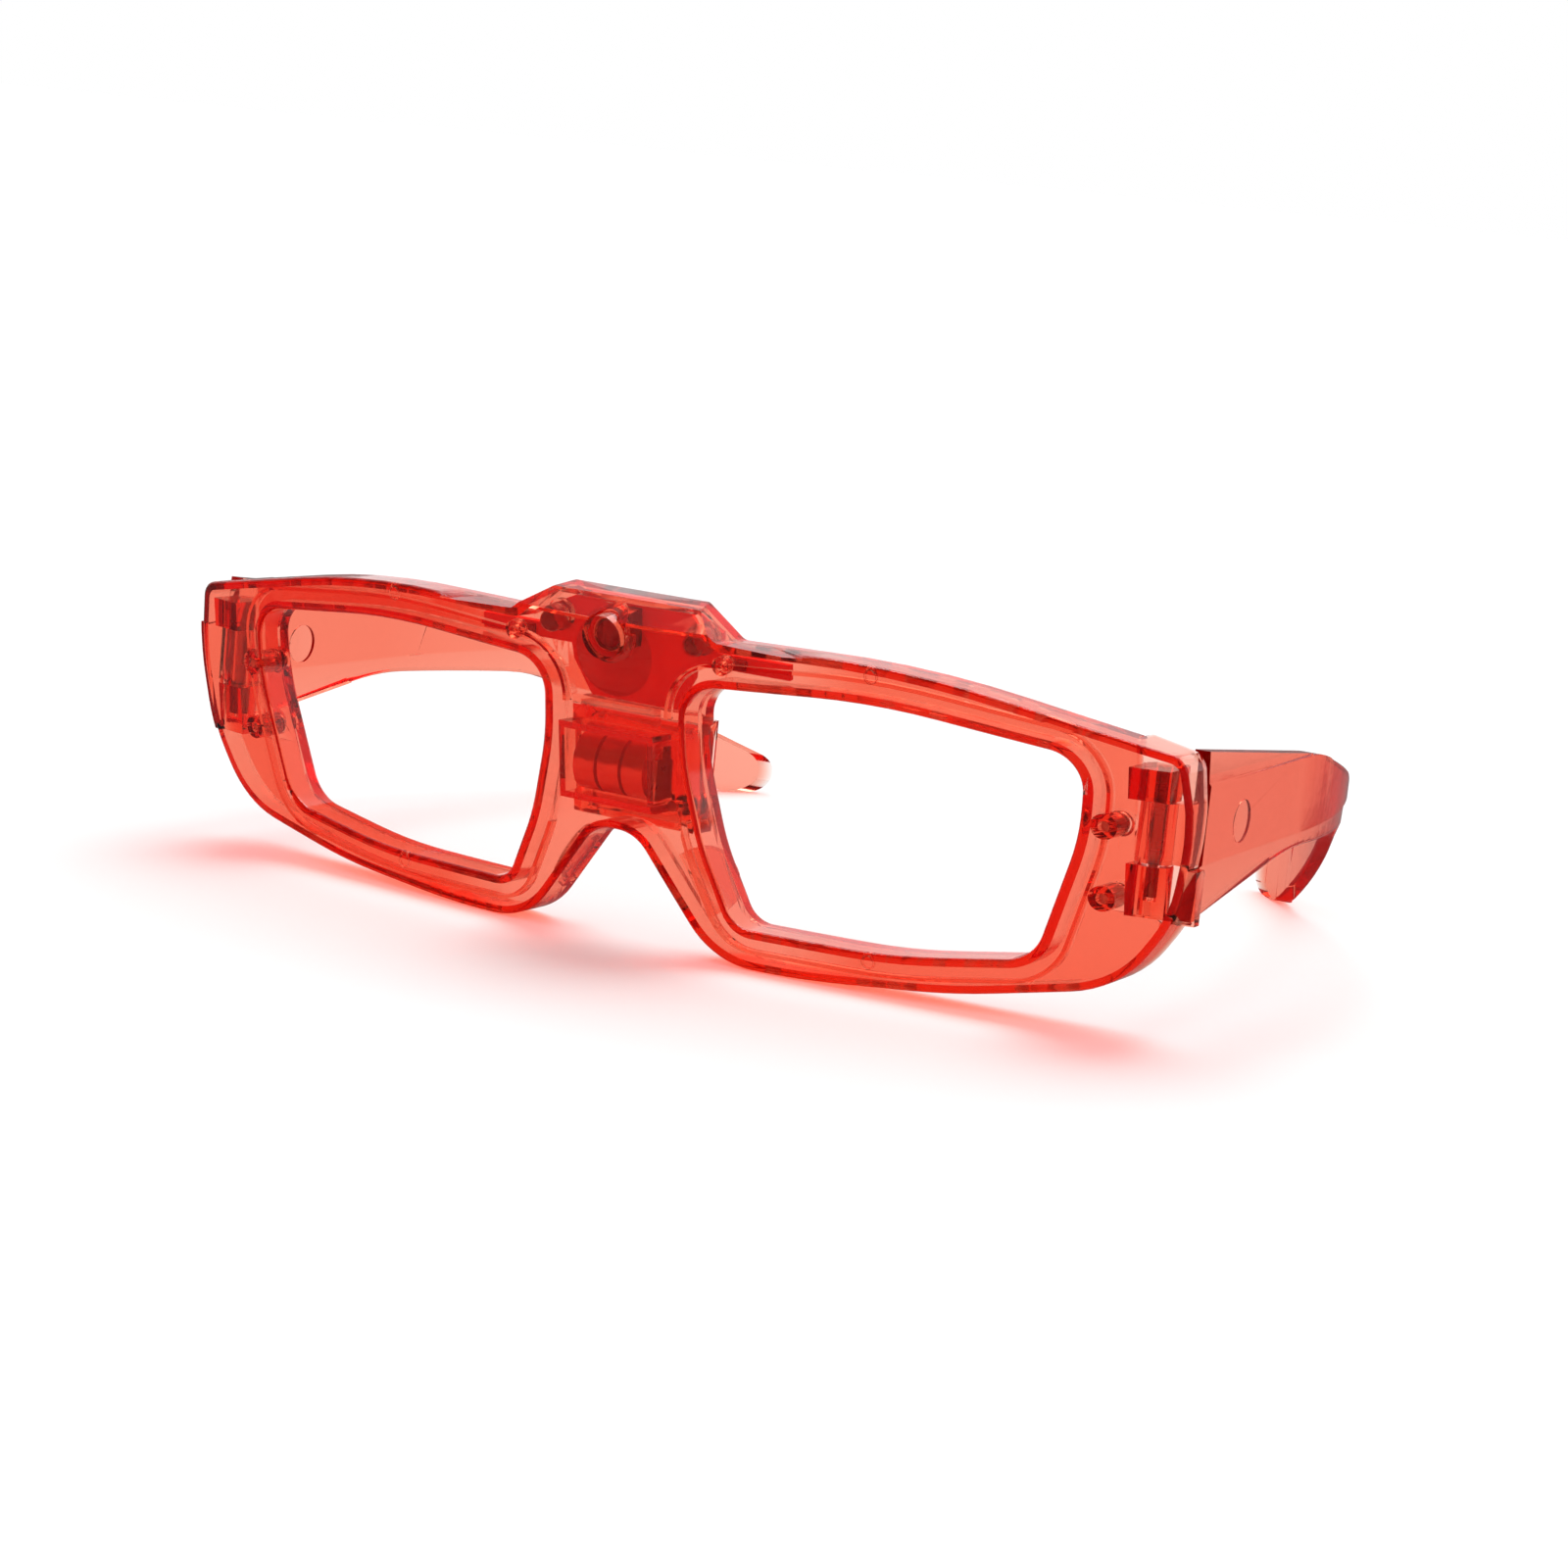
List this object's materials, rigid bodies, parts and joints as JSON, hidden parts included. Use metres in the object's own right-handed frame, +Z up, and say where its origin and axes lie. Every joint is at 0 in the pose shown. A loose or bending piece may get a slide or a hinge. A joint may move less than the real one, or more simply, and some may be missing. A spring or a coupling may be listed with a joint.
{
  "type": "led glasses",
  "caption": "Light-up party glasses: open lens rims, folding curled temples, and a lit bridge pod with a push button and a battery box behind.",
  "frame": {"origin": "middle of the object's box, on the ground plane under the lower rims and the temple tips", "axes": "+X towards the wearer's left (the right side of the front view), +Y back towards the wearer, +Z up"},
  "size_m": [0.1492, 0.1206, 0.0453],
  "materials": {
    "clear_plastic": "polished translucent red",
    "circuit_board": "satin",
    "black_resin": "smooth",
    "diode_resin": "clear",
    "nickel": "satin",
    "steel": "bright"
  },
  "bodies": {
    "frame": {"front_shell": "clear_plastic", "rear_shell": "clear_plastic", "left_hinge_pin": "steel", "right_hinge_pin": "steel", "circuit_board": "circuit_board", "chip_blob": "black_resin", "board_resistors": "black_resin", "switch_body": "steel", "left_diode": "diode_resin", "right_diode": "diode_resin", "left_cell": "nickel", "middle_cell": "nickel", "right_cell": "nickel", "spring_contact": "nickel", "flat_contact": "nickel", "shell_screws": "steel"},
    "left_temple": {"left_temple": "clear_plastic"},
    "right_temple": {"right_temple": "clear_plastic"},
    "button": {"push_button": "clear_plastic", "switch_actuator": "black_resin"},
    "door": {"battery_door": "clear_plastic", "door_screw": "steel"}
  },
  "joints": [
    {"name": "left_temple_hinge", "type": "hinge", "parent": "frame", "child": "left_temple", "pos_m": [-0.0687, -0.04272, 0.0259], "axis": [0, 0, -1], "range_deg": [0, 72]},
    {"name": "right_temple_hinge", "type": "hinge", "parent": "frame", "child": "right_temple", "pos_m": [0.0687, -0.04272, 0.0259], "axis": [0, 0, 1], "range_deg": [0, 64]},
    {"name": "button_press", "type": "slide", "parent": "frame", "child": "button", "axis": [0, 0.9816, 0.1908], "range_m": [0, 0.0003], "stiffness_N_per_m": 600},
    {"name": "door_lift", "type": "slide", "parent": "frame", "child": "door", "axis": [0, 1, 0], "range_m": [0, 0.005]}
  ]
}
